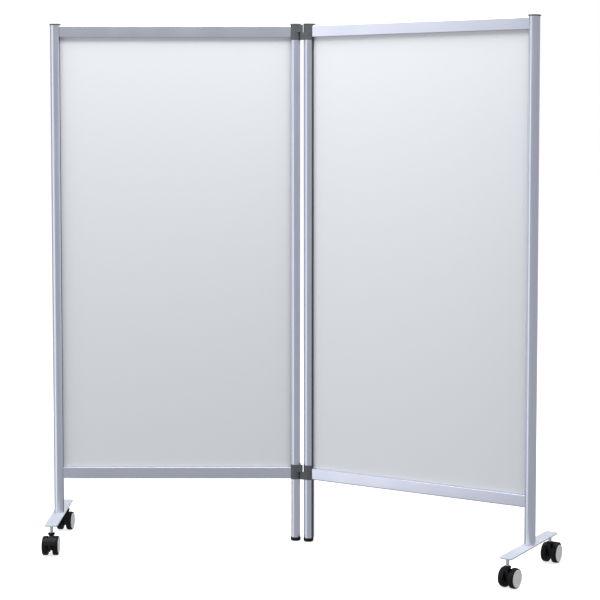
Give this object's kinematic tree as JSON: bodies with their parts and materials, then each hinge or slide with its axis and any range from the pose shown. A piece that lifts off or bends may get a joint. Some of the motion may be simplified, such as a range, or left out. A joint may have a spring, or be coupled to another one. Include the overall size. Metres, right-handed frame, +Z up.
{
  "type": "rolling whiteboard",
  "caption": "Folding mobile whiteboard partition: framed white boards hinged together, on T-shaped feet with swivelling twin-wheel casters.",
  "frame": {"origin": "centre of the base of the bounding box, on the floor", "axes": "+Z up; the left wing lies along X and its writing side faces -Y; the right wing is swung forward from it"},
  "size_m": [1.7582, 0.8142, 1.806],
  "materials": {
    "aluminium": "satin silver anodised",
    "foot_plate": "silver powder coat",
    "cap_grey": "satin dark grey",
    "hinge_grey": "satin dark grey",
    "steel": "zinc plated",
    "whiteboard": "glossy white enamel on sheet steel",
    "backing": "light grey laminate over board",
    "tyre": "matte black",
    "hub": "satin light grey",
    "black_plastic": "satin black"
  },
  "bodies": {
    "left_wing": {"left_inner_upright": "aluminium", "left_outer_upright": "aluminium", "left_inner_cap": "cap_grey", "left_outer_cap": "cap_grey", "left_inner_glide": "black_plastic", "left_top_rail": "aluminium", "left_bottom_rail": "aluminium", "left_writing_sheet": "whiteboard", "left_panel_backing": "backing", "left_top_hinge_leaf": "hinge_grey", "left_bottom_hinge_leaf": "hinge_grey", "left_foot_plate": "foot_plate", "left_foot_bolt": "steel", "left_foot_plug": "steel", "left_front_caster_stem": "steel", "left_rear_caster_stem": "steel", "top_hinge_pin": "steel", "bottom_hinge_pin": "steel"},
    "right_wing": {"right_inner_upright": "aluminium", "right_outer_upright": "aluminium", "right_inner_cap": "cap_grey", "right_outer_cap": "cap_grey", "right_inner_glide": "black_plastic", "right_top_rail": "aluminium", "right_bottom_rail": "aluminium", "right_writing_sheet": "whiteboard", "right_panel_backing": "backing", "right_top_hinge_leaf": "hinge_grey", "right_bottom_hinge_leaf": "hinge_grey", "right_foot_plate": "foot_plate", "right_foot_bolt": "steel", "right_foot_plug": "steel", "right_front_caster_stem": "steel", "right_rear_caster_stem": "steel"},
    "left_front_caster": {"left_front_caster_housing": "black_plastic", "left_front_caster_axle": "steel"},
    "left_front_wheel_a": {"left_front_caster_wheel_a_tyre": "tyre", "left_front_caster_wheel_a_hub": "hub"},
    "left_front_wheel_b": {"left_front_caster_wheel_b_tyre": "tyre", "left_front_caster_wheel_b_hub": "hub"},
    "left_front_brake": {"left_front_caster_brake_pedal": "black_plastic"},
    "left_rear_caster": {"left_rear_caster_housing": "black_plastic", "left_rear_caster_axle": "steel"},
    "left_rear_wheel_a": {"left_rear_caster_wheel_a_tyre": "tyre", "left_rear_caster_wheel_a_hub": "hub"},
    "left_rear_wheel_b": {"left_rear_caster_wheel_b_tyre": "tyre", "left_rear_caster_wheel_b_hub": "hub"},
    "right_front_caster": {"right_front_caster_housing": "black_plastic", "right_front_caster_axle": "steel"},
    "right_front_wheel_a": {"right_front_caster_wheel_a_tyre": "tyre", "right_front_caster_wheel_a_hub": "hub"},
    "right_front_wheel_b": {"right_front_caster_wheel_b_tyre": "tyre", "right_front_caster_wheel_b_hub": "hub"},
    "right_rear_caster": {"right_rear_caster_housing": "black_plastic", "right_rear_caster_axle": "steel"},
    "right_rear_wheel_a": {"right_rear_caster_wheel_a_tyre": "tyre", "right_rear_caster_wheel_a_hub": "hub"},
    "right_rear_wheel_b": {"right_rear_caster_wheel_b_tyre": "tyre", "right_rear_caster_wheel_b_hub": "hub"},
    "right_rear_brake": {"right_rear_caster_brake_pedal": "black_plastic"}
  },
  "joints": [
    {"name": "wing_fold", "type": "hinge", "parent": "left_wing", "child": "right_wing", "pos_m": [0.00498, 0.1959, 0], "axis": [0, 0, -1], "range_deg": [-31, 109]},
    {"name": "left_front_caster_swivel", "type": "hinge", "parent": "left_wing", "child": "left_front_caster", "pos_m": [-0.84602, 0.0369, 0], "axis": [0, 0, 1], "continuous": true},
    {"name": "left_front_wheel_a_spin", "type": "hinge", "parent": "left_front_caster", "child": "left_front_wheel_a", "pos_m": [-0.84602, 0.0219, 0.0325], "axis": [1, 0, 0], "continuous": true},
    {"name": "left_front_wheel_b_spin", "type": "hinge", "parent": "left_front_caster", "child": "left_front_wheel_b", "pos_m": [-0.84602, 0.0219, 0.0325], "axis": [1, 0, 0], "continuous": true},
    {"name": "left_front_brake_press", "type": "hinge", "parent": "left_front_caster", "child": "left_front_brake", "pos_m": [-0.84602, 0.0069, 0.049], "axis": [1, 0, 0], "range_deg": [0, 10]},
    {"name": "left_rear_caster_swivel", "type": "hinge", "parent": "left_wing", "child": "left_rear_caster", "pos_m": [-0.84602, 0.3869, 0], "axis": [0, 0, 1], "continuous": true},
    {"name": "left_rear_wheel_a_spin", "type": "hinge", "parent": "left_rear_caster", "child": "left_rear_wheel_a", "pos_m": [-0.84785, 0.37201, 0.0325], "axis": [0.9925, -0.1219, 0], "continuous": true},
    {"name": "left_rear_wheel_b_spin", "type": "hinge", "parent": "left_rear_caster", "child": "left_rear_wheel_b", "pos_m": [-0.84785, 0.37201, 0.0325], "axis": [0.9925, -0.1219, 0], "continuous": true},
    {"name": "right_front_caster_swivel", "type": "hinge", "parent": "right_wing", "child": "right_front_caster", "pos_m": [0.65254, -0.37869, 0], "axis": [0, 0, 1], "continuous": true},
    {"name": "right_front_wheel_a_spin", "type": "hinge", "parent": "right_front_caster", "child": "right_front_wheel_a", "pos_m": [0.66156, -0.36671, 0.0325], "axis": [-0.7986, 0.6018, 0], "continuous": true},
    {"name": "right_front_wheel_b_spin", "type": "hinge", "parent": "right_front_caster", "child": "right_front_wheel_b", "pos_m": [0.66156, -0.36671, 0.0325], "axis": [-0.7986, 0.6018, 0], "continuous": true},
    {"name": "right_rear_caster_swivel", "type": "hinge", "parent": "right_wing", "child": "right_rear_caster", "pos_m": [0.8328, -0.07868, 0], "axis": [0, 0, 1], "continuous": true},
    {"name": "right_rear_wheel_a_spin", "type": "hinge", "parent": "right_rear_caster", "child": "right_rear_wheel_a", "pos_m": [0.84052, -0.06582, 0.0325], "axis": [-0.8572, 0.515, 0], "continuous": true},
    {"name": "right_rear_wheel_b_spin", "type": "hinge", "parent": "right_rear_caster", "child": "right_rear_wheel_b", "pos_m": [0.84052, -0.06582, 0.0325], "axis": [-0.8572, 0.515, 0], "continuous": true},
    {"name": "right_rear_brake_press", "type": "hinge", "parent": "right_rear_caster", "child": "right_rear_brake", "pos_m": [0.84825, -0.05296, 0.049], "axis": [-0.8572, 0.515, 0], "range_deg": [0, 10]}
  ]
}
